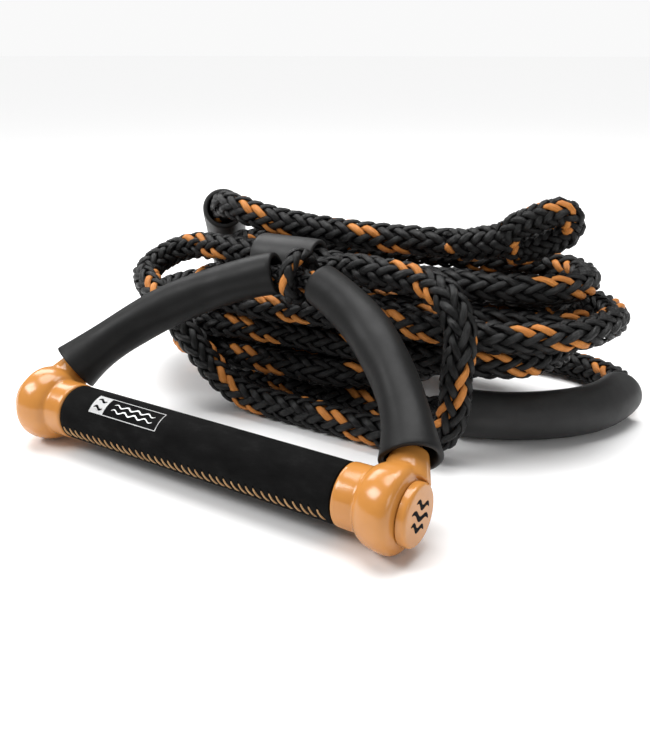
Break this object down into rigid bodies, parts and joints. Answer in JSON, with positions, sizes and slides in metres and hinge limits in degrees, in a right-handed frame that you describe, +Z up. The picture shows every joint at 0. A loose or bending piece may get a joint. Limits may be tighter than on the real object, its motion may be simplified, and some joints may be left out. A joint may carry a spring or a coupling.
{
  "type": "tow rope handle",
  "caption": "Padded bar handle between moulded end caps, with a roped bridle in foam sleeves and a thick braided tow line with foam floats, folded into a hank behind it.",
  "frame": {"origin": "on the floor under the middle of the handle and its bridle, halfway along the bar; the free tow line is left out of this", "axes": "+X along the bar towards its right end, +Z up, +Y from the bar towards the tow line"},
  "size_m": [0.3555, 0.2977, 0.1347],
  "materials": {
    "cap": "gloss",
    "suede": "matte",
    "foam": "matte",
    "rope": "satin",
    "thread": "matte",
    "aluminium": "satin",
    "plug": "matte"
  },
  "bodies": {
    "root": {"line_eye": "rope", "line_splice": "rope", "rope_hank_layer_1": "rope", "rope_hank_layer_2": "rope", "rope_hank_layer_3": "rope", "tow_line_lead": "rope", "tow_line_tail": "rope", "tow_eye_splice": "rope", "tow_eye": "rope"},
    "bridle": {"bridle_rope": "rope"},
    "handle": {"bar_tube": "aluminium", "left_bar_plug": "plug", "right_bar_plug": "plug", "grip_foam": "foam", "grip_cover": "suede", "grip_stitching": "thread", "left_end_cap": "cap", "left_cap_disc": "cap", "left_stop_knot": "rope", "right_end_cap": "cap", "right_cap_disc": "cap", "right_stop_knot": "rope"},
    "left_sleeve": {"left_sleeve": "foam"},
    "right_sleeve": {"right_sleeve": "foam"},
    "float_front": {"float_front": "foam"},
    "float_middle": {"float_middle": "foam"},
    "float_rear": {"float_rear": "foam"}
  },
  "joints": [
    {"name": "bridle_swing", "type": "hinge", "parent": "root", "child": "bridle", "pos_m": [0, 0.049, 0.09299], "axis": [-1, 0, 0], "range_deg": [0, 70]},
    {"name": "handle_pivot", "type": "hinge", "parent": "bridle", "child": "handle", "pos_m": [0, -0.01497, 0.03932], "axis": [1, 0, 0], "range_deg": [-8, 8]},
    {"name": "left_sleeve_slide", "type": "hinge", "parent": "bridle", "child": "left_sleeve", "pos_m": [0.04419, -0.07579, -0.01172], "axis": [0, 0.6428, -0.766], "range_deg": [0, 1]},
    {"name": "right_sleeve_slide", "type": "hinge", "parent": "bridle", "child": "right_sleeve", "pos_m": [-0.04419, -0.07579, -0.01172], "axis": [0, -0.6428, 0.766], "range_deg": [0, 1.7]},
    {"name": "float_front_slide", "type": "hinge", "parent": "root", "child": "float_front", "pos_m": [0.06998, 0.17707, 0.0143], "axis": [0, 0, 1], "range_deg": [-2, 0.5]},
    {"name": "float_middle_slide", "type": "slide", "parent": "root", "child": "float_middle", "axis": [1, 0, 0], "range_m": [-0.004, 0.002]},
    {"name": "float_rear_slide", "type": "slide", "parent": "root", "child": "float_rear", "axis": [0.5105, -0.6787, 0.5279], "range_m": [-0.0015, 0.001]}
  ]
}
